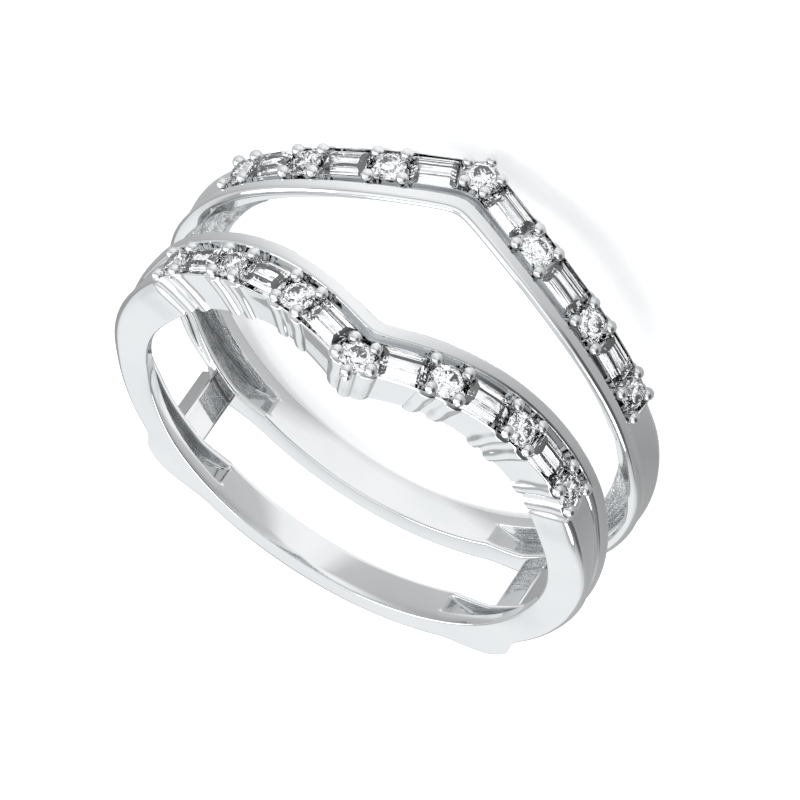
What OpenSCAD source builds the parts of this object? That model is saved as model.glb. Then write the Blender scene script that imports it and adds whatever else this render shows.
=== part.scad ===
/* [Finger hole] */
// Diameter of the finger hole
finger_d = 17.3; // [15:0.1:21]

/* [Bands] */
// Width of each band's shank along the finger
shank_w = 1.3; // [1:0.05:1.8]
// Clear gap between the two shanks at the bottom
band_gap = 2.6; // [2:0.1:4]
// Thickness of the shank at the bottom
shank_t = 1.2; // [0.9:0.05:1.8]
// Thickness that the shank's round outline would reach at the top
head_t = 2; // [1.8:0.05:2.4]

/* [Chevron] */
// Half angle that the two arms lean away from straight at the point
chevron_a = 26.2; // [15:0.2:32]
// Radius of each arm's curve, seen from above
arm_r = 21; // [18:0.5:30]
// From the shank's gap side to the middle of the row of stones
row_in = 1.065; // [1:0.005:1.3]
// From the middle of the row to the outer side panels
panel_out = 0.68; // [0.6:0.02:0.76]
// How far each band widens past its shank's width, where the row ends
cheek_w = 0.55; // [0.3:0.05:0.7]
// How far below the finger hole's middle the band starts to widen
cheek_z = 1.3; // [0.5:0.1:2]

/* [Row of stones] */
// Height of the stones' tables above the finger hole at the middle
table_h = 2.62; // [2.4:0.02:3]
// How far the row's curve is centred above the finger hole's centre
row_rise = 1.137; // [0.9:0.01:1.4]
// Distance from one stone's middle to the next
pitch = 1.74; // [1.7:0.01:1.9]

/* [Stones] */
// Diameter of the round stones
round_d = 1.3; // [1.1:0.02:1.4]
// Height of a round stone's crown
crown_h = 0.2; // [0.12:0.01:0.26]
// Depth of a round stone below its girdle
pavilion_h = 0.54; // [0.4:0.01:0.6]
// Length of the baguettes
baguette_l = 1.72; // [1.5:0.02:1.8]
// Width of the baguettes
baguette_w = 1.14; // [0.9:0.02:1.2]
// Thickness of every stone's girdle
girdle_h = 0.05; // [0.03:0.01:0.08]
// Gap between a stone and its setting
seat_gap = 0.03; // [0.02:0.005:0.05]

/* [Prongs] */
// Diameter of the prong columns on the outer side
column_d = 0.5; // [0.4:0.02:0.56]
// Diameter of the prong posts on the gap side
post_d = 0.4; // [0.3:0.02:0.46]
// Diameter of the ball that tops each prong
ball_d = 0.52; // [0.46:0.02:0.62]
// From a round stone's middle to its gap-side prongs, along the row
post_along = 0.66; // [0.6:0.01:0.72]
// From a round stone's middle to its gap-side prongs, across the row
post_across = 0.57; // [0.52:0.01:0.62]
// From a round stone's middle to its outer prongs, along the row
column_along = 0.56; // [0.52:0.01:0.66]
// From a round stone's middle to its outer prongs, across the row
column_across = 0.54; // [0.5:0.01:0.62]
// From the middle stone's centre to its five prongs
tip_prong_r = 0.73; // [0.7:0.01:0.86]

/* [Rail] */
// Width of the smooth rail beside the stones
rail_w = 0.52; // [0.4:0.02:0.6]
// How far the rail stands out over the gap side
rail_lip = 0.38; // [0.1:0.01:0.45]
// Width of the groove between the rail and the stones
groove_w = 0.11; // [0.08:0.01:0.15]
// Height of the rail
rail_h = 0.5; // [0.4:0.05:0.8]
// How far the rail's top lies below the stones' tables
rail_drop = 0.1; // [0.05:0.01:0.2]

/* [Raised gallery] */
// How far the gallery's lower edge is raised over the finger hole at the point
relief_h = 0.7; // [0.5:0.05:1.1]
// Radius of the raised arch under the gallery
relief_r = 7.6; // [6.4:0.1:7.8]
// How far the prong columns reach down past the gallery's lower edge
column_drop = 0.3; // [0.05:0.05:0.4]

/* [Bridges] */
// Angle from the bottom of the ring to each bridge
bridge_a = 49; // [44:1:54]
// Radius of the bridge's round outer lobe
lobe_r = 1.25; // [1.1:0.05:1.6]
// How far the lobe stands out past the shank
lobe_out = 0.65; // [0.4:0.05:0.8]
// Radial thickness of the bridge between the bands
bridge_t = 1.6; // [1.3:0.05:1.8]
// How far each end of the lobe stays in from the band's side face
lobe_in = 0.12; // [0.05:0.01:0.3]

/* [Recesses] */
// Thickness of the walls beside the recess inside each shoulder
recess_wall = 0.22; // [0.2:0.01:0.4]
// Depth of the shoulder recess
recess_h = 0.85; // [0.5:0.05:0.95]
// Angle from the bottom to the lower end of the recess
recess_start = 35; // [30:1:50]
// Angle from the bottom to the upper end of the recess
recess_end = 130; // [110:1:134]
// Height that is left of the gap-side wall along the row, from the rail's top down
gap_wall_h = 0.93; // [0.8:0.01:1.2]
// How deep the gap side is cut away below that wall
cut_back_w = 0.35; // [0.2:0.01:0.4]
// Height over the finger hole's middle where the cut-back starts
cut_back_z = 1.2; // [0.8:0.1:3]
// Angle from the bottom where the recess opens to the gap side, just above the bridge
side_open_start = 58; // [57:1:62]
// Angle from the bottom where that opening ends
side_open_end = 112; // [100:1:114]
// How deep that opening goes under the shoulder's top
side_open_h = 0.95; // [0.9:0.01:1.05]

/* [Hidden] */
stones_per_arm = 6;
stones = 2 * stones_per_arm + 1;
BANDS = ["front", "rear"];
function is_round(i) = i % 2 == 1;
function stone_name(band, i) = str(is_round(i) ? "round_" : "baguette_", band, "_", i);
far = 14;
$fn = 96;
hole_r = finger_d / 2;
gap_half = band_gap / 2;
shank_out = gap_half + shank_w;
shank_r = hole_r + (shank_t + head_t) / 2;
shank_rise = (head_t - shank_t) / 2;
row_r = hole_r + table_h - row_rise;
girdle_r = row_r - crown_h;
seat_r = girdle_r - girdle_h - seat_gap;
rail_r = row_r - rail_drop;
row_y = gap_half + row_in;
arm_x = arm_r * sin(chevron_a);
arm_y = row_y + arm_r;
tip_y = row_y + arm_r * (1 - cos(chevron_a));
rail_mid = row_in + rail_lip - rail_w / 2;
seat_in = rail_mid - rail_w / 2 - groove_w;
core_out = panel_out / 3;
ball_z = row_r - ball_d / 4;
bridge_in = hole_r + shank_t + lobe_out - bridge_t;
bridge_recess_h = bridge_t / 3;
bridge_recess_a = 4;
round_table = 0.56;
end_table = 0.72;
side_table = 0.56;
end_step = 0.88;
side_step = 0.81;
end_under = 0.82;
side_under = 0.72;
end_keel = 0.5;
side_keel = 0.08;
step_rise = 0.55;
baguette_deep = 0.5;
// Each row of the baguette's cut: share of its half length, share of its half width, height
girdle_low = girdle_r - girdle_h;
cut_rows = [
  [end_table, side_table, row_r],
  [end_step, side_step, girdle_r + crown_h * step_rise],
  [1, 1, girdle_r],
  [1, 1, girdle_low],
  [end_under, side_under, girdle_low - baguette_deep * step_rise],
  [end_keel, side_keel, girdle_low - baguette_deep],
];

// Where the row's middle line lies along the finger, x from the ring's middle plane
function row_at(x) = x < arm_x ? arm_y - sqrt(arm_r * arm_r - (x - arm_x) * (x - arm_x)) : row_y;
function row_slope(x) = x < arm_x ? (x - arm_x) / sqrt(arm_r * arm_r - (x - arm_x) * (x - arm_x)) : 0;
function row_step(a) = pitch / row_r / sqrt(1 + pow(row_slope(row_r * sin(a)) * cos(a), 2)) * 180 / PI;
// Angle from the top to the nth stone, each half a step's slope ahead of the last
function stone_a(n) = n == 0 ? 0 : let(a = stone_a(n - 1), b = a + row_step(a)) a + row_step((a + b) / 2);

// The ring rests on its rear point and the rim of its shank, and leans by the slope between them
tip_reach = tip_y + tip_prong_r + column_d / 2;
tip_low = hole_r + relief_h - column_drop;
rest_a = atan((tip_reach - shank_out) / (tip_low + hole_r + shank_t));
rest_z = tip_reach * cos(rest_a) - tip_low * sin(rest_a);
top_reach = (tip_y + tip_prong_r) * sin(rest_a) + (row_rise + ball_z) * cos(rest_a) + ball_d / 2;
low_reach = shank_out * sin(rest_a) + (hole_r + shank_t) * cos(rest_a);
rest_y = (top_reach - low_reach) / 2;
module as_it_rests() {
  translate([0, rest_y, rest_z]) rotate([rest_a - 90, 0, 180]) children();
}

module at_stone(n) {
  a = stone_a(n);
  x = row_r * sin(a);
  translate([0, 0, row_rise]) rotate([0, a, 0]) translate([0, row_at(x), 0])
    rotate([0, 0, n == 0 ? 0 : atan(row_slope(x) * cos(a))]) children();
}

module both_arms() {
  children();
  mirror([1, 0, 0]) children();
}

module both_bands() {
  children();
  mirror([0, 1, 0]) children();
}

// A round bar along the finger, as long as the whole ring is wide
module barrel(r, z) {
  translate([0, 0, z]) rotate([90, 0, 0]) cylinder(r = r, h = 2 * far, center = true);
}

// A part turn of a ring about the finger hole, from low to high, measured from the bottom
module sector(r_in, r_out, y_low, y_high, low, high) {
  rotate([90, 0, 0]) rotate([0, 0, low - 90]) rotate_extrude(angle = high - low)
    translate([r_in, -y_high]) square([r_out - r_in, y_high - y_low]);
}

// Both arms of one band from above, between two distances from the row's middle line
module plan(gap_side, outer_side) {
  both_arms() {
    intersection() {
      difference() {
        translate([arm_x, arm_y]) circle(r = arm_r + gap_side, $fn = 360);
        translate([arm_x, arm_y]) circle(r = arm_r - outer_side, $fn = 360);
      }
      square([arm_x, far]);
    }
    translate([arm_x, row_y - gap_side]) square([far - arm_x, gap_side + outer_side]);
  }
}

module arms(gap_side, outer_side) {
  linear_extrude(height = far) plan(gap_side, outer_side);
}

// The band's width as seen along its diameter, straight below and opening out above
module side_limit() {
  cheek_top = hole_r * cos(180 - recess_end);
  rotate([90, 0, 90]) linear_extrude(height = 2 * far, center = true) polygon([
    [gap_half, -far],
    [shank_out, -far],
    [shank_out, -cheek_z],
    [shank_out + cheek_w, cheek_top],
    [far, cheek_top],
    [far, far],
    [gap_half - rail_lip, far],
    [gap_half - rail_lip, hole_r / 2],
    [gap_half, 0],
  ]);
}

module shank() {
  intersection() {
    barrel(shank_r, shank_rise);
    translate([-far, gap_half, -far]) cube([2 * far, shank_w, far]);
  }
}

// Both shoulders, past the last stone's middle
module past_row() {
  both_arms() translate([0, 0, row_rise]) rotate([0, stone_a(stones_per_arm), 0])
    translate([0, -far, -far]) cube([far, 2 * far, 2 * far]);
}

module shoulders() {
  intersection() {
    arms(row_in, panel_out);
    barrel(shank_r, shank_rise);
    side_limit();
    past_row();
  }
}

module arm_core() {
  intersection() {
    arms(row_in, core_out);
    barrel(shank_r, shank_rise);
    side_limit();
  }
}

module arm_seat() {
  intersection() {
    arms(seat_in, core_out);
    barrel(seat_r, row_rise);
    side_limit();
  }
}

// The outer side panel behind each stone's prongs, level with the stone
module panels() {
  intersection() {
    barrel(seat_r, row_rise);
    union() {
      both_arms() for (n = [1:stones_per_arm]) at_stone(n)
        translate([-pitch / 2 - seat_gap, 0, hole_r / 2]) cube([pitch + 2 * seat_gap, panel_out, hole_r]);
      intersection() {
        arms(0, panel_out);
        cube([pitch, 2 * far, 2 * far], center = true);
      }
    }
  }
}

module rail() {
  intersection() {
    arms(row_in + rail_lip, rail_w - row_in - rail_lip);
    difference() {
      barrel(rail_r, row_rise);
      barrel(rail_r - rail_h, row_rise);
    }
    side_limit();
  }
}

module prong(x, y, d, low) {
  translate([x, y, low]) cylinder(d = d, h = ball_z - low, $fn = 32);
  translate([x, y, ball_z]) sphere(d = ball_d, $fn = 32);
}

module corner_prongs(along, across, d, low) {
  for (x = [-along, along]) prong(x, across, d, low);
}

module tip_prongs(angles, d, low) {
  for (a = angles) prong(tip_prong_r * cos(a), tip_prong_r * sin(a), d, low);
}

module columns() {
  low = hole_r - row_rise - ball_d;
  at_stone(0) tip_prongs([18, 90, 162], column_d, low);
  both_arms() for (n = [2:2:stones_per_arm]) at_stone(n)
    corner_prongs(column_along, column_across, column_d, low);
}

module posts() {
  low = rail_r - rail_h;
  at_stone(0) tip_prongs([-54, -126], post_d, low);
  both_arms() for (n = [2:2:stones_per_arm]) at_stone(n)
    corner_prongs(post_along, -post_across, post_d, low);
}

// The arch under the gallery, raised by h at the point
module arch(h) {
  barrel(relief_r, hole_r + h - relief_r);
}

// A round stone's seat, the stone's own outline grown by the gap
module round_seat() {
  rotate_extrude() polygon([
    [0, girdle_low - pavilion_h - 2 * seat_gap],
    [round_d / 2 + seat_gap, girdle_low - seat_gap / 2],
    [round_d / 2 + seat_gap, girdle_r + seat_gap / 2],
    [round_d * round_table / 2 + seat_gap, row_r + seat_gap],
    [0, row_r + seat_gap],
  ]);
}

// A baguette's outline grown by the gap and carried right across, side 0 from the side, 1 from the end
module cut_prism(side, half) {
  last = len(cut_rows) - 1;
  rotate([90, 0, 0]) linear_extrude(height = 2 * pitch, center = true) polygon([
    for (s = [1, -1]) for (k = s > 0 ? [0:last] : [last:-1:0])
      [s * (cut_rows[k][side] * half + seat_gap), cut_rows[k][2] + seat_gap * (last / 2 - k) / (last / 2)]
  ]);
}

module baguette_seat() {
  intersection() {
    cut_prism(0, baguette_l / 2);
    rotate([0, 0, 90]) cut_prism(1, baguette_w / 2);
  }
}

module seats() {
  at_stone(0) round_seat();
  both_arms() for (n = [1:stones_per_arm]) at_stone(n) if (n % 2 == 0) round_seat(); else baguette_seat();
}

// The crossbar of one side, a round bar that reaches past both bands' outline
module bridge() {
  difference() {
    rotate([0, bridge_a, 0]) translate([0, 0, shank_rise * cos(bridge_a) - shank_r + lobe_r - lobe_out])
      rotate([90, 0, 0]) cylinder(r = lobe_r, h = 2 * (shank_out - lobe_in), center = true);
    barrel(bridge_in, 0);
  }
}

// The hollow inside one shoulder, open to the finger
module recess() {
  sector(hole_r - shank_t, hole_r + recess_h, gap_half + recess_wall, shank_out - recess_wall,
    recess_start, recess_end);
}

// The way into the recess from the gap side, under the shoulder's rail
module side_opening() {
  sector(hole_r - shank_t, hole_r + side_open_h, gap_half - rail_lip, gap_half + 2 * recess_wall,
    side_open_start, side_open_end);
}

// The space that is open under the gap-side wall along the row and its shoulders
module cut_back() {
  intersection() {
    arms(2 * row_in, cut_back_w - row_in);
    barrel(rail_r - gap_wall_h, row_rise);
    translate([-far, 0, cut_back_z]) cube(2 * far);
  }
}

// The shallow hollow in the finger side of one crossbar
module bridge_recess() {
  sector(hole_r, bridge_in + bridge_recess_h, recess_wall - gap_half, gap_half - recess_wall,
    bridge_a - bridge_recess_a, bridge_a + bridge_recess_a);
}

module band() {
  difference() {
    union() {
      difference() {
        union() {
          arm_core();
          arm_seat();
          panels();
          rail();
        }
        arch(relief_h);
      }
      shank();
      shoulders();
      difference() {
        columns();
        arch(relief_h - column_drop);
      }
      posts();
    }
    seats();
  }
}

module guard_frame() {
  color("#d3d8dc") as_it_rests() difference() {
    union() {
      both_bands() band();
      both_arms() bridge();
    }
    barrel(hole_r, 0);
    both_bands() {
      both_arms() {
        recess();
        side_opening();
      }
      cut_back();
    }
    both_arms() bridge_recess();
  }
}

// A round brilliant: table, three rows of crown facets, girdle and pavilion
module round_stone() {
  half = round_d / 2;
  points = [
    for (k = [0:7]) [half * round_table * cos(45 * k), half * round_table * sin(45 * k), row_r],
    for (z = [girdle_r, girdle_low]) for (j = [0:15]) [half * cos(22.5 * j), half * sin(22.5 * j), z],
    [0, 0, girdle_low - pavilion_h],
  ];
  crown = [for (k = [0:7]) let(t = k, u = (k + 1) % 8, g = 8 + 2 * k, h = 8 + (2 * k + 2) % 16)
    each [[t, g + 1, g], [t, u, g + 1], [u, h, g + 1]]];
  rim = [for (j = [0:15]) let(g = 8 + j, h = 8 + (j + 1) % 16) [g, h, h + 16, g + 16]];
  under = [for (j = [0:15]) [24 + j, 24 + (j + 1) % 16, 40]];
  polyhedron(points, concat([[7, 6, 5, 4, 3, 2, 1, 0]], crown, rim, under));
}

// A step-cut baguette: rows of rectangles from the table down to the keel
module baguette() {
  points = [for (row = cut_rows) for (s = [[-1, -1], [1, -1], [1, 1], [-1, 1]])
    [s[0] * row[0] * baguette_l / 2, s[1] * row[1] * baguette_w / 2, row[2]]];
  walls = [for (r = [0:4]) for (k = [0:3]) let(a = 4 * r + k, b = 4 * r + (k + 1) % 4) [a, b, b + 4, a + 4]];
  polyhedron(points, concat([[3, 2, 1, 0]], walls, [[20, 21, 22, 23]]));
}

module stone(band, i) {
  middle = stones_per_arm + 1;
  color("#f4f8fb") as_it_rests()
    mirror([0, band == "front" ? 1 : 0, 0]) mirror([i < middle ? 1 : 0, 0, 0])
      at_stone(abs(i - middle)) if (is_round(i)) round_stone(); else baguette();
}

guard_frame();
for (band = BANDS) for (i = [1:stones])
  stone(band, i);
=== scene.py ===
import bpy
import bmesh
import math
import numpy as np
from mathutils import Matrix, Vector


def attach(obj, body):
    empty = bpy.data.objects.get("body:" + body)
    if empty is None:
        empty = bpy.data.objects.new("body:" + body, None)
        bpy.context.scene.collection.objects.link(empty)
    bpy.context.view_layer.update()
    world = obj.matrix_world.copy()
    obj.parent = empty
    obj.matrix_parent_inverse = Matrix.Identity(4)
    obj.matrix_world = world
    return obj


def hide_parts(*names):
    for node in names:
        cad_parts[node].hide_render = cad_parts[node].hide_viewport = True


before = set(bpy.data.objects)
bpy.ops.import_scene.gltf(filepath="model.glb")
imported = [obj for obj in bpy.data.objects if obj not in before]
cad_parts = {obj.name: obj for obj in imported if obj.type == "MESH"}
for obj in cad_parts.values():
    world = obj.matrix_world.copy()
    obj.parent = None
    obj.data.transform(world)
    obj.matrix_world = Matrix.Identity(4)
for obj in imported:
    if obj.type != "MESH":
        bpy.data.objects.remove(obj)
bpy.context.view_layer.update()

# Sizes in millimetres, x across the ring, y along the finger, z towards the heads
HOLE_R = 8.65
GAP_HALF = 1.3
SHANK_W = 1.3
SHANK_R = 10.24
SHANK_RISE = 0.4
ROW_Y = 2.365
ROW_R = 10.133
ROW_RISE = 1.137
ARM_R = 21.0
ARM_X = ARM_R * math.sin(math.radians(26.2))
ARM_Y = ROW_Y + ARM_R
PITCH = 1.74
STONES_PER_ARM = 6
ROUND_R = 0.65
CROWN = 0.2
GIRDLE = 0.05
PAVILION = 0.54
BAGUETTE_L = 1.72
BAGUETTE_W = 1.14
BAGUETTE_DEEP = 0.5
BALL_R = 0.255
BALL_Z = ROW_R - 0.125
POST_R = 0.35
POST_AT = (0.66, 0.57)
COLUMN_AT = (0.56, 0.54)
TIP_R = 0.73
# Levels of the row, as radii about its own arc's middle
RAIL_LEVEL = 10.04
SEAT_LEVEL = 9.935
SIDE_LEVEL = 9.86
CREASE_LEVEL = 9.53
TROUGH_LEVEL = 9.5
HOLLOW_LEVEL = 9.22
GAP_LEVEL = 9.1
# Places across the band, from the row's middle line
GAP_FACE = -1.065
PANEL_FACE = 0.63
# The radius about the finger hole at which angles along the row are taken
MID_R = 9.7
# Angles from the top, in degrees, between which the row of stones gives way to the plain shoulder
ROW_LAST = 56.6
SHOULDER_FIRST = 58.2
RIDGE_HIGH = 0.13
REST_A = math.radians(8.731)
REST_Y = 0.96885
REST_Z = 4.06506


def smooth(a, b, t):
    s = min(max((t - a) / (b - a), 0.0), 1.0)
    return s * s * (3 - 2 * s)


def mix(a, b, s):
    return a + (b - a) * s


def row_at(x, off=0.0, soft=0.0):
    """Where the row's middle line lies along the finger, off millimetres further out."""
    x = math.sqrt(x * x + soft * soft)
    if x >= ARM_X:
        return ROW_Y + off
    return ARM_Y - math.sqrt((ARM_R - off) ** 2 - (x - ARM_X) ** 2)


def row_slope(x):
    return (x - ARM_X) / math.sqrt(ARM_R**2 - (x - ARM_X) ** 2) if x < ARM_X else 0.0


def stone_angles():
    """The angle from the top to each stone of one arm, in degrees."""
    def step(a):
        r = math.radians(a)
        slope = row_slope(ROW_R * math.sin(r)) * math.cos(r)
        return math.degrees(PITCH / ROW_R / math.sqrt(1 + slope**2))
    found = [0.0]
    for _ in range(STONES_PER_ARM):
        a = found[-1]
        found.append(a + step(a + step(a) / 2))
    return found


STONE_A = stone_angles()


def ridge_places():
    """Where the posts run down the panel: row angle and half width in degrees."""
    found = []
    at_tip = [(TIP_R * math.cos(math.radians(b)), TIP_R * math.sin(math.radians(b))) for b in (18, 90)]
    on_arm = [(-COLUMN_AT[0], COLUMN_AT[1]), (COLUMN_AT[0], COLUMN_AT[1])]
    for n in (0, 2, 4, 6):
        a = math.radians(STONE_A[n])
        turn = math.atan(row_slope(ROW_R * math.sin(a)) * math.cos(a)) if n else 0.0
        for along, out in on_arm if n else at_tip:
            x = along * math.cos(turn) - out * math.sin(turn)
            found.append((STONE_A[n] + math.degrees(x / ROW_R), math.degrees(POST_R / ROW_R)))
    return found


RIDGES = ridge_places()


def level(rho, t):
    """The radius from the finger hole's middle at angle t from the top, of a level rho of the row."""
    a = math.radians(t)
    return ROW_RISE * math.cos(a) + math.sqrt(rho**2 - (ROW_RISE * math.sin(a)) ** 2)


def gallery_edge(t):
    """The radius of the side panel's lower edge, which is raised over the finger hole towards the point."""
    angles = [0, 12, 18, 22, 26, 30, 35, 40, 46, 57, SHOULDER_FIRST]
    radii = [9.3, 9.34, 9.36, 9.33, 9.25, 9.12, 8.98, 8.9, 8.86, 8.84, HOLE_R]
    return float(np.interp(t, angles, radii))


def lobe(t, end):
    """How far the shank swells where the crossbar meets it, up to an end some degrees from the bottom."""
    p = 180 - t
    return 0.68 * smooth(31, 45.5, p) * (1 - smooth(end - 4, end + 4, p))


def outline(t, end=52.0):
    a = math.radians(t)
    return SHANK_RISE * math.cos(a) + math.sqrt(SHANK_R**2 - (SHANK_RISE * math.sin(a)) ** 2) + lobe(t, end)


def hollow(t):
    """How deep the shoulder's hollow is at angle t, as a share."""
    p = 180 - t
    return float(np.interp(p, [34.4, 36.0, 36.4, 40.0, 41.5], [0, 0.34, 0.4, 0.95, 1]))


def round_corners(corners, steps=4):
    """A closed outline with each corner rounded over its own distance, five points to a corner."""
    pts = [Vector((c[0], c[1])) for c in corners]
    out = []
    for i, c in enumerate(corners):
        p, q, n = pts[i - 1], pts[i], pts[(i + 1) % len(pts)]
        back, ahead = p - q, n - q
        a = q + back * min(c[2] / back.length, 0.46)
        b = q + ahead * min(c[2] / ahead.length, 0.46)
        for k in range(steps + 1):
            s = k / steps
            out.append(a * (1 - s) ** 2 + q * 2 * s * (1 - s) + b * s * s)
    return out


def ridge(t):
    """How far the side panel stands out where a prong's half-round post runs down it."""
    across = row_angle(t)
    high = 0.0
    for at, wide in RIDGES:
        s = abs(across - at) / wide
        if s < 1:
            high = max(high, RIDGE_HIGH * math.sqrt(1 - s * s))
    return high


def section(t):
    """One band's outline cut at angle t from the top, as corners (along the finger, radius, rounding)."""
    rad = math.radians(t)
    in_row = 1 - smooth(ROW_LAST, SHOULDER_FIRST, t)
    past = 1 - in_row
    gallery = 1 - smooth(50, 64, t)
    d = hollow(t)

    def y_gap(off, r):
        x = r * math.sin(min(rad, math.pi / 2))
        return row_at(x, off, 0.42) if t < 75 else GAP_HALF - 0.1 * smooth(110, 135, t) + off - GAP_FACE

    def y_panel(off):
        return row_at(10.0 * math.sin(rad) * 0.97, off, 0.15)

    proud = in_row * ridge(t)

    z = 9.4 * math.cos(rad)
    u = min(max((z + 1.6) / 7.2, 0.0), 1.0)
    y_side = GAP_HALF + SHANK_W + 0.52 * (0.5 * u + 0.5 * smooth(0, 1, u))
    y_side += 0.12 * smooth(58, 70, t) * (1 - smooth(84, 112, t))
    yo = mix(y_side, y_panel(PANEL_FACE), in_row)
    top = outline(t, 48.5)
    top_side = outline(t, 52)
    lip = 0.42 * (1 - smooth(60, 98, t)) + 0.1 * smooth(60, 98, t) * (1 - smooth(116, 128, t))
    # The gap-side wall thins out to the rail over the open shoulder and comes down again at the crossbar
    r_open = np.interp(t, [56, 66, 90, 112, 136, 145], [level(GAP_LEVEL, 56), 9.72, 9.7, 9.2, 9.2, HOLE_R])
    r_gap = mix(r_open, level(GAP_LEVEL, t), in_row)
    low_panel = gallery_edge(t) - 0.3 * proud
    floor = mix(outline(t) - 0.4, level(HOLLOW_LEVEL, t), gallery)
    floor = mix(floor, 9.6, smooth(120, 132, t))
    floor_g = mix(max(r_gap, HOLE_R), floor, d)
    floor_o = mix(low_panel, floor, d)
    wall = 0.21
    wall_o = mix(wall, 0.5, smooth(66, 104, t))
    rail_top = level(RAIL_LEVEL, t)
    crown = max(rail_top, top + 0.02) if t < 70 else top + 0.02 * (1 - smooth(70, 90, t))
    crease_w = 0.68 + 0.1 * smooth(56, 80, t)
    dip = 0.2 * (1 - smooth(84, 126, t))

    outer = GAP_FACE - lip
    corners = []
    edge = mix(0.09, 0.04, in_row)
    # Finger side, from the outer wall to the gap side
    flare = 0.15 * smooth(100, 130, t)
    corners += [(yo + flare + proud, low_panel, edge)]
    corners += [(yo + flare - wall_o, low_panel, 0.03)]
    corners += [(yo + flare - wall_o - 0.06, floor_o, 0.1)]
    corners += [(y_gap(GAP_FACE + wall + 0.06, floor_g), floor_g, 0.1)]
    corners += [(y_gap(GAP_FACE + wall, r_gap), r_gap, 0.03)]
    corners += [(y_gap(GAP_FACE, r_gap), r_gap, edge)]
    # Gap side and rail
    r_shank = np.interp(t, [56, 66, 90, 112, 128, 145], [level(CREASE_LEVEL, 56), 9.77, 9.75, 9.45, 9.5, 9.3])
    r_crease = mix(r_shank, level(CREASE_LEVEL, t), in_row)
    lift = mix(0.07, 0.12, in_row)
    corners += [(y_gap(GAP_FACE, r_crease), r_crease, 0.03)]
    corners += [(y_gap(outer, r_crease + lift), r_crease + lift, mix(0.05, 0.2, in_row))]
    side_top = max(mix(crown - 0.16, top - 0.24, smooth(60, 100, t)), r_crease + lift + 0.06)
    corners += [(y_gap(outer, side_top), side_top, 0.3)]
    shoulder_w = mix(0.15, 0.26, smooth(60, 100, t))
    corners += [(y_gap(outer + shoulder_w, crown), crown - 0.005, 0.3)]
    corners += [(y_gap(outer + crease_w - 0.1, crown), crown - mix(0.03, 0.45 * dip, past), 0.12)]
    # Trough beside the stones, or the crease that it runs out into
    trough = level(TROUGH_LEVEL, t)
    r1 = mix(crown - dip, trough, in_row)
    corners += [(y_gap(outer + crease_w, r1), r1, 0.03)]
    seat_in = mix(outer + crease_w + 0.06, -0.68, in_row)
    r2 = mix(crown - dip * 0.9, trough, in_row)
    corners += [(y_gap(seat_in, r2), r2, 0.03)]
    # Seats under the stones, or the soft valley of the shoulder
    y_in = y_gap(seat_in, r2)
    seat_top = level(SEAT_LEVEL, t)
    cup_side, cup_low = level(9.56, t), level(9.32, t)
    row_pts = [(-0.63, seat_top), (-0.42, cup_side), (0.0, cup_low), (0.42, cup_side), (0.585, seat_top)]
    for share, (off, r_row) in zip((0.04, 0.2, 0.36, 0.52, 0.68), row_pts):
        y_valley = mix(y_in, yo - 0.42 * mix(0.62, 1, smooth(58, 90, t)), share)
        valley = top - dip * 0.9 * (1 - share) ** 1.6 - 0.15 * dip * math.sin(math.pi * share)
        y_row = y_gap(off, r_row) if off < 0 else y_panel(off)
        corners += [(mix(y_valley, y_row, in_row), mix(valley, r_row, in_row), mix(0.2, 0.03, in_row))]
    # Outer edge and side face
    r_edge = mix(top - 0.01, seat_top, in_row)
    soft = mix(0.24, 0.1, smooth(94, 124, t))
    y_edge = mix(yo - soft - 0.25 * (top - top_side), y_panel(0.605), in_row)
    corners += [(y_edge, r_edge, mix(soft * 0.8, 0.02, in_row))]
    r_side = mix(top_side - soft, level(SIDE_LEVEL, t), in_row)
    corners += [(yo + proud, r_side, mix(soft * 0.8, 0.03, in_row))]
    hollowed = 0.05 * in_row
    r_mid = (r_side + low_panel) / 2
    corners += [(yo - hollowed + proud + flare * 0.5, r_mid, 0.4)]
    return corners


def ring_point(t, y, r):
    a = math.radians(t)
    return Vector((r * math.sin(a), y, r * math.cos(a)))


def row_angle(t, r=MID_R):
    """The angle at the row's own middle of a point at angle t and radius r about the finger hole."""
    a = math.radians(t)
    return math.degrees(math.atan2(r * math.sin(a), r * math.cos(a) - ROW_RISE))


def leant(t, y, r):
    """A section's point: in the row the sections stand square to the row, further down to the finger hole."""
    a = math.radians(row_angle(t))
    own = math.degrees(a - math.asin(ROW_RISE * math.sin(a) / r))
    return ring_point(mix(own, t, smooth(SHOULDER_FIRST, 80, t)), y, r)


def pick_none():
    bpy.ops.object.select_all(action="DESELECT")


def only(piece):
    pick_none()
    piece.select_set(True)
    bpy.context.view_layer.objects.active = piece


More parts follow.
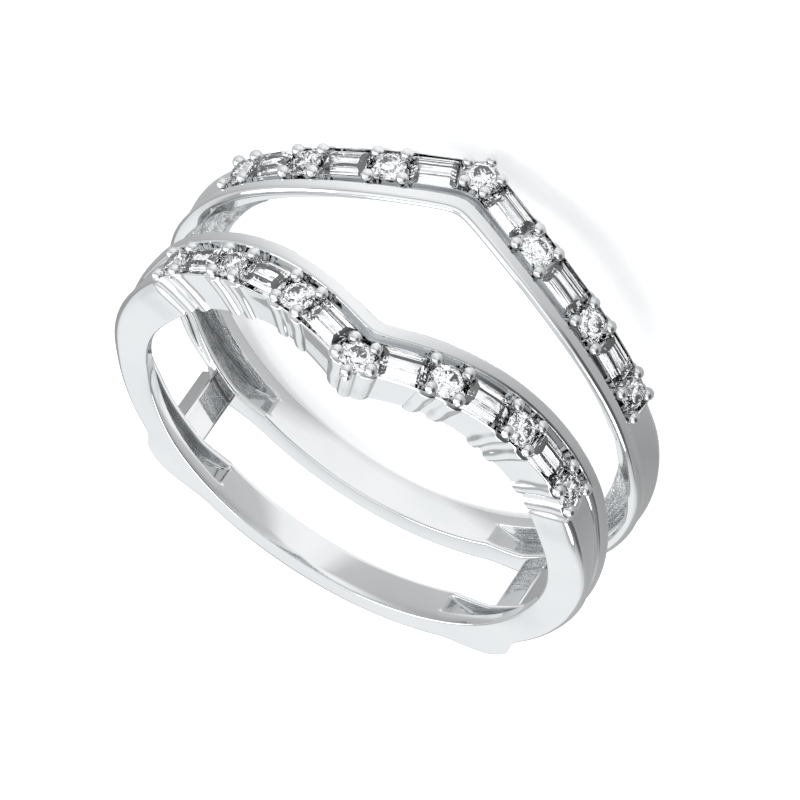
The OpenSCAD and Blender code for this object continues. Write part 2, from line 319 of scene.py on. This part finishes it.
def sweep(name, sections, rough=(), closed=False):
    """Draws a closed outline from a circle and extrudes it from station to station."""
    pick_none()
    bpy.ops.mesh.primitive_circle_add(vertices=len(sections[0]), fill_type="NGON" if closed else "NOTHING")
    piece = bpy.context.object
    piece.name = piece.data.name = name
    for v, p in zip(piece.data.vertices, sections[0]):
        v.co = p
    bpy.ops.object.mode_set(mode="EDIT")
    bpy.ops.mesh.select_mode(type="EDGE")
    bpy.ops.mesh.select_all(action="SELECT")
    for before, now in zip(sections, sections[1:]):
        bpy.ops.mesh.extrude_edges_move()
        mesh = bmesh.from_edit_mesh(piece.data)
        place = {tuple(round(c, 5) for c in p): q for p, q in zip(before, now)}
        for v in mesh.verts:
            if v.select:
                v.co = place[tuple(round(c, 5) for c in v.co)]
        bmesh.update_edit_mesh(piece.data)
    if closed:
        bpy.ops.mesh.edge_face_add()
    bpy.ops.object.mode_set(mode="OBJECT")
    if rough:
        place = {}
        for s in sections:
            for k, p in enumerate(s):
                place[tuple(round(c, 4) for c in p)] = k
        at = [place[tuple(round(c, 4) for c in v.co)] for v in piece.data.vertices]
        for face in piece.data.polygons:
            ks = {at[i] for i in face.vertices}
            face.material_index = int(any(min(ks) >= a and max(ks) <= b for a, b in rough))
    return piece


def use(piece, kind, **settings):
    """Adds a modifier and applies it."""
    only(piece)
    m = piece.modifiers.new(kind.lower(), kind)
    for key, value in settings.items():
        setattr(m, key, value)
    bpy.ops.object.modifier_apply(modifier=m.name)


def tidy_faces(piece, angle=35):
    only(piece)
    bpy.ops.object.mode_set(mode="EDIT")
    bpy.ops.mesh.select_all(action="SELECT")
    bpy.ops.mesh.remove_doubles(threshold=1e-5)
    bpy.ops.mesh.normals_make_consistent(inside=False)
    bpy.ops.object.mode_set(mode="OBJECT")
    bpy.ops.object.shade_smooth_by_angle(angle=math.radians(angle))


def join(pieces, name, coats=()):
    for p in pieces:
        for coat in coats:
            p.data.materials.append(coat)
    pick_none()
    for p in pieces:
        p.select_set(True)
    bpy.context.view_layer.objects.active = pieces[0]
    bpy.ops.object.join()
    pieces[0].name = pieces[0].data.name = name
    return pieces[0]


def copy_of(piece, matrix, name="copy"):
    new = piece.copy()
    new.data = piece.data.copy()
    new.name = new.data.name = name
    bpy.context.scene.collection.objects.link(new)
    new.data.transform(matrix)
    if matrix.determinant() < 0:
        new.data.flip_normals()
    return new


MIRROR_X = Matrix.Diagonal((-1, 1, 1, 1))
MIRROR_Y = Matrix.Diagonal((1, -1, 1, 1))
S, C = math.sin(REST_A), math.cos(REST_A)
AT_REST = Matrix(((-1, 0, 0, 0), (0, -S, -C, REST_Y), (0, -C, S, REST_Z), (0, 0, 0, 1)))
TO_METRES = Matrix.Scale(0.001, 4) @ AT_REST


def stone_frame(n):
    """Takes what stands on the row's arc at its top to where the nth stone is."""
    a = math.radians(STONE_A[n])
    x = ROW_R * math.sin(a)
    yaw = 0.0 if n == 0 else math.atan(row_slope(x) * math.cos(a))
    return (Matrix.Translation((0, 0, ROW_RISE)) @ Matrix.Rotation(a, 4, "Y")
            @ Matrix.Translation((0, row_at(x), 0)) @ Matrix.Rotation(yaw, 4, "Z"))


def make_bands():
    """The two bands: a quarter is swept from the point to the bottom, then mirrored both ways."""
    stations = list(np.arange(0, 181, 2.5))
    for first, last, step in ((0, 6, 0.8), (54, 66, 0.75), (122, 152, 1.25)):
        stations += list(np.arange(first, last, step))
    stations += [ROW_LAST, 57.0, 57.4, 57.8, SHOULDER_FIRST, 141.0, 141.6, 142.4, 143.6, 144.0, 145.0, 145.4]
    for at, wide in RIDGES:
        a = math.radians(at)
        near = math.degrees(math.atan2(MID_R * math.sin(a), MID_R * math.cos(a) + ROW_RISE))
        for k in (-1.45, -1.1, -0.98, -0.8, -0.5, 0.0, 0.5, 0.8, 0.98, 1.1, 1.45):
            stations.append(max(near + k * wide * 0.9, 0.0))
    stations = sorted({round(float(s), 2) for s in stations if s <= 180})
    stations = [s for i, s in enumerate(stations) if i == 0 or s - stations[i - 1] > 0.06]
    rows = [[leant(t, p.x, p.y) for p in round_corners(section(t))] for t in stations]
    hollow_points, trough_points = (9, 20), (56, 63)
    quarter = sweep("bands", rows, rough=[hollow_points, trough_points])
    for face in quarter.data.polygons:
        c = face.center
        t = math.degrees(math.atan2(c.x, c.z))
        past_hollow = t > 141.2
        past_trough = t > 57.5 and math.hypot(c.x, c.z) > 9.9
        if past_hollow or past_trough:
            face.material_index = 0
    use(quarter, "MIRROR", use_axis=(True, False, False), merge_threshold=1e-4)
    tidy_faces(quarter, 34)
    other = copy_of(quarter, MIRROR_Y)
    return [quarter, other]


def make_prong(rho_low, radius):
    """A prong turned up from its post to its bead, standing on the row's arc at its top."""
    z = BALL_Z
    foot = ((0, 0.3), (0.03, 0.62), (0.09, 0.86), (0.19, 1))
    rings = [(rho_low + up, radius * share) for up, share in foot]
    rings += [(z - 0.34, radius), (z - 0.25, min(radius, 0.2))]
    for a in (-45, -25, -5, 15, 35, 55, 75):
        rings.append((z + BALL_R * math.sin(math.radians(a)), BALL_R * math.cos(math.radians(a))))
    count = 20
    sections = [[Vector((r * math.cos(2 * math.pi * k / count), r * math.sin(2 * math.pi * k / count), h))
                 for k in range(count)] for h, r in rings]
    piece = sweep("prong", sections, closed=True)
    tidy_faces(piece, 50)
    return piece


def prong_places():
    """Each prong of the x >= 0 half of one band: stone, place along and across the row, and side."""
    places = []
    for n in (2, 4, 6):
        for side in (-1, 1):
            for along in (-1, 1):
                at = COLUMN_AT if side > 0 else POST_AT
                places.append((n, along * at[0], side * at[1], side))
    for a in (18, 90, 306):
        spot = polar(TIP_R, a, 0)
        places.append((0, spot.x, spot.y, 1 if spot.y > 0 else -1))
    return places


def make_prongs():
    """All prongs, copied from one for the outer side and one for the gap side."""
    masters = {1: make_prong(9.5, 0.235), -1: make_prong(9.3, 0.19)}
    made = []
    for n, along, across, side in prong_places():
        at = stone_frame(n) @ Matrix.Translation((along, across, 0))
        one = copy_of(masters[side], at)
        made.append(one)
        if not (n == 0 and abs(along) < 0.01):
            made.append(copy_of(one, MIRROR_X))
    for piece in masters.values():
        bpy.data.objects.remove(piece)
    return made + [copy_of(p, MIRROR_Y) for p in made]


def make_crossbar():
    """The bar low on a shoulder that ties the two bands, with a sunk rough panel on its finger side."""
    low, high = 40.4, 49.6
    long, wide = 2.1, 2.8
    sunk = 0.1
    panel_along, panel_first, panel_last = 0.85, 0.05, 1.2
    pick_none()
    bpy.ops.mesh.primitive_cube_add(size=1, location=(0, 0, 0.5), scale=(long, wide, 1))
    piece = bpy.context.object
    only(piece)
    bpy.ops.object.transform_apply(location=True, rotation=True, scale=True)
    bpy.ops.object.mode_set(mode="EDIT")
    bpy.ops.mesh.select_mode(type="EDGE")
    bpy.ops.mesh.select_all(action="DESELECT")
    mesh = bmesh.from_edit_mesh(piece.data)
    for e in mesh.edges:
        e.select = abs(e.verts[0].co.y - e.verts[1].co.y) > 1
    bmesh.update_edit_mesh(piece.data)
    bpy.ops.mesh.bevel(offset=0.14, segments=4, affect="EDGES")
    bpy.ops.mesh.select_all(action="SELECT")
    bpy.ops.mesh.subdivide(number_cuts=3)
    bpy.ops.mesh.subdivide(number_cuts=2)
    bpy.ops.mesh.select_mode(type="FACE")
    bpy.ops.mesh.select_all(action="DESELECT")
    mesh = bmesh.from_edit_mesh(piece.data)
    for f in mesh.faces:
        c = f.calc_center_median()
        f.select = c.z < 0.001 and panel_first < c.y < panel_last and abs(c.x) < panel_along
    bmesh.update_edit_mesh(piece.data)
    bpy.ops.mesh.inset(thickness=0.03)
    bpy.ops.mesh.extrude_region_move(TRANSFORM_OT_translate={"value": (0, 0, sunk)})
    mesh = bmesh.from_edit_mesh(piece.data)
    for f in mesh.faces:
        f.material_index = int(f.select)
    bmesh.update_edit_mesh(piece.data)
    bpy.ops.object.mode_set(mode="OBJECT")
    for v in piece.data.vertices:
        share = v.co.x / long + 0.5
        p = mix(low, high, share)
        inner = mix(9.95, 9.72, share)
        r = mix(inner, outline(180 - p, 51) - 0.02, v.co.z)
        v.co = ring_point(180 - p, v.co.y, r)
    tidy_faces(piece, 38)
    return [piece, copy_of(piece, MIRROR_X)]


def facets(name, points):
    """A cut stone: the flat facets that span its corner points."""
    pick_none()
    bpy.ops.mesh.primitive_circle_add(vertices=len(points))
    piece = bpy.context.object
    piece.name = piece.data.name = name
    for v, p in zip(piece.data.vertices, points):
        v.co = p
    bpy.ops.object.mode_set(mode="EDIT")
    bpy.ops.mesh.select_all(action="SELECT")
    bpy.ops.mesh.delete(type="EDGE_FACE")
    bpy.ops.mesh.select_all(action="SELECT")
    bpy.ops.mesh.convex_hull()
    bpy.ops.mesh.select_all(action="SELECT")
    bpy.ops.mesh.dissolve_limited(angle_limit=math.radians(0.8))
    bpy.ops.mesh.select_all(action="SELECT")
    bpy.ops.mesh.normals_make_consistent(inside=False)
    bpy.ops.object.mode_set(mode="OBJECT")
    return piece


def polar(r, degrees, z):
    return Vector((r * math.cos(math.radians(degrees)), r * math.sin(math.radians(degrees)), z))


def make_round_stone():
    """A round brilliant: table, stars, kites, halves above and below, mains."""
    top, girdle = ROW_R, ROW_R - CROWN
    low = girdle - GIRDLE
    tip = low - PAVILION
    pts = [polar(ROUND_R * 0.56, 45 * k, top) for k in range(8)]
    pts += [polar(ROUND_R * 0.775, 45 * k + 22.5, mix(girdle, top, 0.555)) for k in range(8)]
    pts += [polar(ROUND_R, 22.5 * k, girdle) for k in range(16)]
    pts += [polar(ROUND_R, 22.5 * k, low) for k in range(16)]
    pts += [polar(ROUND_R * 0.27, 45 * k + 22.5, mix(low, tip, 0.755)) for k in range(8)]
    pts += [Vector((0, 0, tip))]
    return facets("round_stone", pts)


def make_baguette():
    """A step-cut baguette: three steps above the girdle, four below, down to a keel."""
    top, girdle = ROW_R, ROW_R - CROWN
    low = girdle - GIRDLE
    keel = low - BAGUETTE_DEEP
    crown_steps = [(0.72, 0.5, top), (0.82, 0.7, mix(girdle, top, 0.72)), (0.91, 0.86, mix(girdle, top, 0.4))]
    belt = [(1, 1, girdle), (1, 1, low)]
    lower_steps = [(a, b, mix(low, keel, down)) for a, b, down in
                   ((0.93, 0.83, 0.3), (0.86, 0.64, 0.56), (0.78, 0.4, 0.8), (0.66, 0.08, 1))]
    pts = []
    for a, b, z in crown_steps + belt + lower_steps:
        for sx, sy in ((-1, -1), (1, -1), (1, 1), (-1, 1)):
            pts.append(Vector((sx * a * BAGUETTE_L / 2, sy * b * BAGUETTE_W / 2, z)))
    return facets("baguette", pts)


def node_group(name, ins):
    """An empty shader group with named inputs, which puts out a roughness, a height and a tint."""
    group = bpy.data.node_groups.new(name, "ShaderNodeTree")
    for label, value in ins:
        group.interface.new_socket(label, in_out="INPUT", socket_type="NodeSocketFloat").default_value = value
    for label in ("Roughness", "Height", "Tint"):
        group.interface.new_socket(label, in_out="OUTPUT", socket_type="NodeSocketFloat")
    return group, group.nodes.new("NodeGroupInput"), group.nodes.new("NodeGroupOutput")


def noise(tree, scale_from, detail, roughness=0.5, kind="ShaderNodeTexNoise"):
    coords = tree.nodes.new("ShaderNodeTexCoord")
    tex = tree.nodes.new(kind)
    tree.links.new(coords.outputs["Object"], tex.inputs["Vector"])
    tree.links.new(scale_from, tex.inputs["Scale"])
    if kind == "ShaderNodeTexNoise":
        tex.inputs["Detail"].default_value = detail
        tex.inputs["Roughness"].default_value = roughness
    return tex


def spread(tree, value, low, high, from_low=0.3, from_high=0.7):
    """Maps a pattern's value onto a range that group inputs or numbers give."""
    m = tree.nodes.new("ShaderNodeMapRange")
    m.inputs["From Min"].default_value = from_low
    m.inputs["From Max"].default_value = from_high
    tree.links.new(value, m.inputs["Value"])
    for socket, v in (("To Min", low), ("To Max", high)):
        if isinstance(v, (int, float)):
            m.inputs[socket].default_value = v
        else:
            tree.links.new(v, m.inputs[socket])
    return m.outputs["Result"]


def gloss(group, pattern, start):
    """A pattern spread over the group's own range of roughness."""
    low, high = start.outputs["Roughness Low"], start.outputs["Roughness High"]
    return spread(group, pattern.outputs["Fac"], low, high)


def build_polish_group():
    """Hand polish: soft patches of roughness and a very fine, slightly wavy surface."""
    group, start, end = node_group("hand_polish", [
        ("Patch Scale", 900), ("Fine Scale", 9000), ("Roughness Low", 0.05), ("Roughness High", 0.12)])
    patch = noise(group, start.outputs["Patch Scale"], 3)
    fine = noise(group, start.outputs["Fine Scale"], 4, 0.6)
    group.links.new(gloss(group, patch, start), end.inputs["Roughness"])
    group.links.new(fine.outputs["Fac"], end.inputs["Height"])
    group.links.new(patch.outputs["Fac"], end.inputs["Tint"])
    return group


def along_band(group):
    """Coordinates that run with the band, so that a pattern on them lies in streaks along it."""
    def math_node(kind, *values):
        node = group.nodes.new("ShaderNodeVectorMath")
        node.operation = kind
        for socket, value in zip(node.inputs, values):
            if isinstance(value, tuple):
                socket.default_value = value
            else:
                group.links.new(value, socket)
        return node
    coords = group.nodes.new("ShaderNodeTexCoord")
    hole = (0, REST_Y / 1000, REST_Z / 1000)
    middle = math_node("SUBTRACT", coords.outputs["Object"], hole).outputs["Vector"]
    x = math_node("DOT_PRODUCT", middle, (-1, 0, 0)).outputs["Value"]
    y = math_node("DOT_PRODUCT", middle, (0, -S, -C)).outputs["Value"]
    z = math_node("DOT_PRODUCT", middle, (0, -C, S)).outputs["Value"]
    turn = group.nodes.new("ShaderNodeMath")
    turn.operation = "ARCTAN2"
    group.links.new(x, turn.inputs[0])
    group.links.new(z, turn.inputs[1])
    flat = group.nodes.new("ShaderNodeCombineXYZ")
    group.links.new(x, flat.inputs["X"])
    group.links.new(z, flat.inputs["Z"])
    out = math_node("LENGTH", flat.outputs["Vector"]).outputs["Value"]
    drawn = group.nodes.new("ShaderNodeMath")
    drawn.operation = "MULTIPLY"
    drawn.inputs[1].default_value = 0.0009
    group.links.new(turn.outputs[0], drawn.inputs[0])
    joined = group.nodes.new("ShaderNodeCombineXYZ")
    group.links.new(out, joined.inputs["X"])
    group.links.new(y, joined.inputs["Y"])
    group.links.new(drawn.outputs[0], joined.inputs["Z"])
    return joined.outputs["Vector"]


def build_cast_group():
    """Cast skin left unpolished: small pits and grains over long wrinkles that run with the band."""
    group, start, end = node_group("cast_skin", [
        ("Grain Scale", 5200), ("Ripple Scale", 1500), ("Roughness Low", 0.22), ("Roughness High", 0.5)])
    grain = noise(group, start.outputs["Grain Scale"], 5, 0.65)
    cells = noise(group, start.outputs["Grain Scale"], 0, kind="ShaderNodeTexVoronoi")
    ripple = noise(group, start.outputs["Ripple Scale"], 3)
    streaks = along_band(group)
    group.links.new(streaks, ripple.inputs["Vector"])
    group.links.new(streaks, grain.inputs["Vector"])
    add = group.nodes.new("ShaderNodeMath")
    add.operation = "ADD"
    group.links.new(grain.outputs["Fac"], add.inputs[0])
    group.links.new(spread(group, ripple.outputs["Fac"], 0.0, 0.9), add.inputs[1])
    less = group.nodes.new("ShaderNodeMath")
    less.operation = "ADD"
    group.links.new(add.outputs[0], less.inputs[0])
    group.links.new(spread(group, cells.outputs["Distance"], -0.25, 0.0, 0.0, 0.45), less.inputs[1])
    group.links.new(less.outputs[0], end.inputs["Height"])
    group.links.new(gloss(group, grain, start), end.inputs["Roughness"])
    group.links.new(grain.outputs["Fac"], end.inputs["Tint"])
    return group


def build_sparkle_group():
    """Small flats inside a cut stone that catch the light one by one."""
    group, start, end = node_group("stone_sparkle", [
        ("Patch Scale", 2500), ("Fine Scale", 6000), ("Roughness Low", 0.0), ("Roughness High", 0.015)])
    patch = noise(group, start.outputs["Patch Scale"], 2)
    cells = noise(group, start.outputs["Fine Scale"], 0, kind="ShaderNodeTexVoronoi")
    group.links.new(gloss(group, patch, start), end.inputs["Roughness"])
    group.links.new(cells.outputs["Distance"], end.inputs["Height"])
    group.links.new(patch.outputs["Fac"], end.inputs["Tint"])
    return group


def surface(name, group, values, colours, metallic, bump, depth):
    """A material whose roughness, tint and bump come from one of the groups."""
    mat = bpy.data.materials.new(name)
    mat.use_nodes = True
    tree = mat.node_tree
    shader = tree.nodes["Principled BSDF"]
    shader.inputs["Metallic"].default_value = metallic
    node = tree.nodes.new("ShaderNodeGroup")
    node.node_tree = group
    for key, value in values.items():
        node.inputs[key].default_value = value
    tree.links.new(node.outputs["Roughness"], shader.inputs["Roughness"])
    ramp = tree.nodes.new("ShaderNodeValToRGB")
    ramp.color_ramp.elements[0].position, ramp.color_ramp.elements[1].position = 0.3, 0.7
    ramp.color_ramp.elements[0].color = (*colours[0], 1)
    ramp.color_ramp.elements[1].color = (*colours[1], 1)
    tree.links.new(node.outputs["Tint"], ramp.inputs["Fac"])
    tree.links.new(ramp.outputs["Color"], shader.inputs["Base Color"])
    rise = tree.nodes.new("ShaderNodeBump")
    rise.inputs["Strength"].default_value = bump
    rise.inputs["Distance"].default_value = depth
    tree.links.new(node.outputs["Height"], rise.inputs["Height"])
    tree.links.new(rise.outputs["Normal"], shader.inputs["Normal"])
    return mat


polish = build_polish_group()
cast = build_cast_group()
sparkle = build_sparkle_group()
white_gold = surface("polished_white_gold", polish,
    {"Patch Scale": 500, "Fine Scale": 7000, "Roughness Low": 0.03, "Roughness High": 0.08},
    ((0.83, 0.84, 0.85), (0.87, 0.875, 0.88)), 1, 0.05, 0.000002)
cast_gold = surface("cast_white_gold", cast,
    {"Grain Scale": 9000, "Ripple Scale": 1800, "Roughness Low": 0.14, "Roughness High": 0.42},
    ((0.45, 0.465, 0.48), (0.9, 0.905, 0.91)), 1, 1.0, 0.00005)


def stone_material(name, tint, cells, bump):
    values = {"Patch Scale": 2500, "Fine Scale": cells, "Roughness Low": 0.0, "Roughness High": 0.015}
    mat = surface(name, sparkle, values, ((0.97, 0.98, 1.0), tint), 0, bump, 0.00002)
    shader = mat.node_tree.nodes["Principled BSDF"]
    shader.inputs["Transmission Weight"].default_value = 1.0
    shader.inputs["IOR"].default_value = 2.417
    return mat


brilliant_cut = stone_material("round_diamond", (1, 1, 1), 5500, 0.12)
step_cut = stone_material("baguette_diamond", (1, 0.995, 1), 4000, 0.03)

metal = join(make_bands() + make_prongs() + make_crossbar(), "guard_metal", (white_gold, cast_gold))
metal.data.transform(TO_METRES)
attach(metal, "root")
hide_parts("guard_frame")


def set_stones():
    """One cut stone for each stone node of the frame."""
    masters = {"round": make_round_stone(), "baguette": make_baguette()}
    for band in ("front", "rear"):
        for i in range(1, 14):
            kind = "round" if i % 2 else "baguette"
            node = f"{kind}_{band}_{i}"
            place = stone_frame(abs(i - 7))
            if i < 7:
                place = MIRROR_X @ place
            if band == "front":
                place = MIRROR_Y @ place
            piece = copy_of(masters[kind], TO_METRES @ place, node + "_cut")
            piece.data.materials.clear()
            piece.data.materials.append(brilliant_cut if kind == "round" else step_cut)
            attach(piece, "root")
            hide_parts(node)
    for piece in masters.values():
        bpy.data.objects.remove(piece)


set_stones()

# Floor, light and camera
pick_none()
bpy.ops.mesh.primitive_plane_add(size=3, location=(0, 0, -0.00001))
floor = bpy.context.object
floor.name = "floor"


# Painted reflection tones that the metal mirrors in place of the lit floor: out from the ring's middle plane,
# and round from behind to in front
PAINTED_INSIDE_REFLECTION_TONES = [(0.0, 1.05), (0.2, 1.0), (0.36, 0.62), (1.0, 0.5)]
PAINTED_FLOOR_REFLECTION_TONES = [(0.0, 0.52), (0.07, 0.46), (0.18, 0.42), (0.33, 0.36), (0.5, 0.45), (0.68, 0.5),
               (0.82, 0.62), (0.93, 0.84), (1.0, 1.05)]
# Tones of the studio: through a stone, from the ring's left to its right, and from the horizon upwards
SPARK_TONES = [(0.0, 0.3), (0.37, 0.3), (0.41, 1.35), (0.6, 1.5), (0.64, 0.95), (1.0, 1.1)]
SIDE_TONES = [(0.0, 0.75), (0.15, 0.85), (0.4, 1.0), (0.6, 1.0), (0.72, 0.82), (0.82, 0.55),
              (0.9, 0.15), (1.0, 0.12)]
SKY_TONES = [(0.0, 0.9), (0.1, 0.97), (0.3, 0.97), (0.43, 0.86), (0.52, 0.5), (0.6, 0.5), (0.7, 0.8),
             (0.8, 1.1), (1.0, 1.15)]


def ramp(tree, value, stops):
    node = tree.nodes.new("ShaderNodeValToRGB")
    band = node.color_ramp
    while len(band.elements) < len(stops):
        band.elements.new(0.5)
    for e, (at, shade) in zip(sorted(band.elements, key=lambda e: e.position), stops):
        e.position = at
        e.color = (shade * 0.985, shade * 0.995, shade, 1)
    tree.links.new(value, node.inputs["Fac"])
    return node.outputs["Color"]


def make_floor_with_painted_reflection():
    """A plain white floor. Its mirror image in the metal is a painted reflection, an emission seen only by
    glossy rays, pale in front and greyer behind.
    """
    mat = bpy.data.materials.new("pale_floor_painted_reflection")
    mat.use_nodes = True
    tree = mat.node_tree
    shader = tree.nodes["Principled BSDF"]
    shader.inputs["Roughness"].default_value = 0.9
    shader.inputs["Base Color"].default_value = (0.97, 0.972, 0.975, 1)
    shader.inputs["Emission Color"].default_value = (1, 1, 1, 1)
    shader.inputs["Emission Strength"].default_value = 0.35
    coords = tree.nodes.new("ShaderNodeTexCoord")
    turn = tree.nodes.new("ShaderNodeVectorMath")
    turn.operation = "NORMALIZE"
    tree.links.new(coords.outputs["Object"], turn.inputs[0])
    toward = tree.nodes.new("ShaderNodeVectorMath")
    toward.operation = "DOT_PRODUCT"
    toward.inputs[1].default_value = (0.34, -0.94, 0)
    tree.links.new(turn.outputs["Vector"], toward.inputs[0])
    half = tree.nodes.new("ShaderNodeMapRange")
    half.inputs["From Min"].default_value = -1
    tree.links.new(toward.outputs["Value"], half.inputs["Value"])
    apart = tree.nodes.new("ShaderNodeSeparateXYZ")
    tree.links.new(coords.outputs["Object"], apart.inputs[0])
    aside = tree.nodes.new("ShaderNodeMath")
    aside.operation = "ABSOLUTE"
    tree.links.new(apart.outputs["X"], aside.inputs[0])
    wide = tree.nodes.new("ShaderNodeMapRange")
    wide.inputs["From Max"].default_value = 0.01
    tree.links.new(aside.outputs[0], wide.inputs["Value"])
    far = tree.nodes.new("ShaderNodeVectorMath")
    far.operation = "LENGTH"
    tree.links.new(coords.outputs["Object"], far.inputs[0])
    out = tree.nodes.new("ShaderNodeMapRange")
    out.inputs["From Min"].default_value = 0.008
    out.inputs["From Max"].default_value = 0.012
    tree.links.new(far.outputs["Value"], out.inputs["Value"])
    tones = tree.nodes.new("ShaderNodeMix")
    tones.data_type = "RGBA"
    tree.links.new(out.outputs["Result"], tones.inputs["Factor"])
    tree.links.new(ramp(tree, wide.outputs["Result"], PAINTED_INSIDE_REFLECTION_TONES), tones.inputs["A"])
    tree.links.new(ramp(tree, half.outputs["Result"], PAINTED_FLOOR_REFLECTION_TONES), tones.inputs["B"])
    mirrored = tones.outputs["Result"]
    # Painted reflection: glossy rays that are not transmission rays see this emission of set tones, not the
    # lit and shadowed floor
    painted_reflection_glow = tree.nodes.new("ShaderNodeEmission")
    tree.links.new(mirrored, painted_reflection_glow.inputs["Color"])
    path = tree.nodes.new("ShaderNodeLightPath")
    painted_reflection_rays = tree.nodes.new("ShaderNodeMath")
    painted_reflection_rays.operation = "SUBTRACT"
    tree.links.new(path.outputs["Is Glossy Ray"], painted_reflection_rays.inputs[0])
    tree.links.new(path.outputs["Is Transmission Ray"], painted_reflection_rays.inputs[1])
    pick = tree.nodes.new("ShaderNodeMixShader")
    tree.links.new(painted_reflection_rays.outputs[0], pick.inputs["Fac"])
    tree.links.new(shader.outputs["BSDF"], pick.inputs[1])
    tree.links.new(painted_reflection_glow.outputs["Emission"], pick.inputs[2])
    tree.links.new(pick.outputs["Shader"], tree.nodes["Material Output"].inputs["Surface"])
    return mat


floor.data.materials.append(make_floor_with_painted_reflection())


def make_world():
    """A soft white studio, darker half way up and on one side, with sparks seen through the stones."""
    world = bpy.data.worlds.new("studio")
    bpy.context.scene.world = world
    world.use_nodes = True
    tree = world.node_tree
    coords = tree.nodes.new("ShaderNodeTexCoord")
    parts = tree.nodes.new("ShaderNodeSeparateXYZ")
    tree.links.new(coords.outputs["Generated"], parts.inputs[0])
    height = ramp(tree, parts.outputs["Z"], SKY_TONES)
    aside = tree.nodes.new("ShaderNodeMapRange")
    aside.inputs["From Min"].default_value = 1
    aside.inputs["From Max"].default_value = -1
    tree.links.new(parts.outputs["X"], aside.inputs["Value"])
    both = tree.nodes.new("ShaderNodeMix")
    both.data_type = "RGBA"
    both.blend_type = "MULTIPLY"
    both.inputs["Factor"].default_value = 1
    tree.links.new(height, both.inputs["A"])
    tree.links.new(ramp(tree, aside.outputs["Result"], SIDE_TONES), both.inputs["B"])
    spots = tree.nodes.new("ShaderNodeTexNoise")
    spots.inputs["Scale"].default_value = 5.5
    spots.inputs["Detail"].default_value = 3
    tree.links.new(coords.outputs["Generated"], spots.inputs["Vector"])
    path = tree.nodes.new("ShaderNodeLightPath")
    through = tree.nodes.new("ShaderNodeMix")
    through.data_type = "RGBA"
    tree.links.new(path.outputs["Is Transmission Ray"], through.inputs["Factor"])
    tree.links.new(both.outputs["Result"], through.inputs["A"])
    tree.links.new(ramp(tree, spots.outputs["Fac"], SPARK_TONES), through.inputs["B"])
    tree.links.new(through.outputs["Result"], tree.nodes["Background"].inputs["Color"])
    tree.nodes["Background"].inputs["Strength"].default_value = 1.0


make_world()


def area(name, at, size, power, to=(0, 0, 0.005)):
    bpy.ops.object.light_add(type="AREA", location=at)
    lamp = bpy.context.object
    lamp.name = name
    lamp.data.shape = "DISK"
    lamp.data.size = size
    lamp.data.energy = power
    lamp.rotation_euler = (Vector(to) - Vector(at)).to_track_quat("-Z", "Y").to_euler()
    return lamp


area("key_light", (-0.35, 0.45, 0.7), 0.6, 2.5)
area("fill_light", (0.4, 0.1, 0.5), 0.5, 1.5)

camera = bpy.data.objects.new("camera", bpy.data.cameras.new("camera"))
bpy.context.scene.collection.objects.link(camera)
camera.data.sensor_width = 36
camera.data.lens = 6516.1 * 36 / 800
camera.data.clip_start = 0.01
right = Vector((-0.85797354, -0.19860963, -0.47374637))
up = Vector((0.49108418, -0.58771325, -0.64298481))
back = Vector((-0.15072404, -0.7843133, 0.60177647))
spin = Matrix((right, up, back)).transposed().to_4x4()
camera.matrix_world = Matrix.Translation((-0.0369702, -0.19028468, 0.14980908)) @ spin
bpy.context.scene.camera = camera
bpy.context.scene.view_settings.view_transform = "Standard"
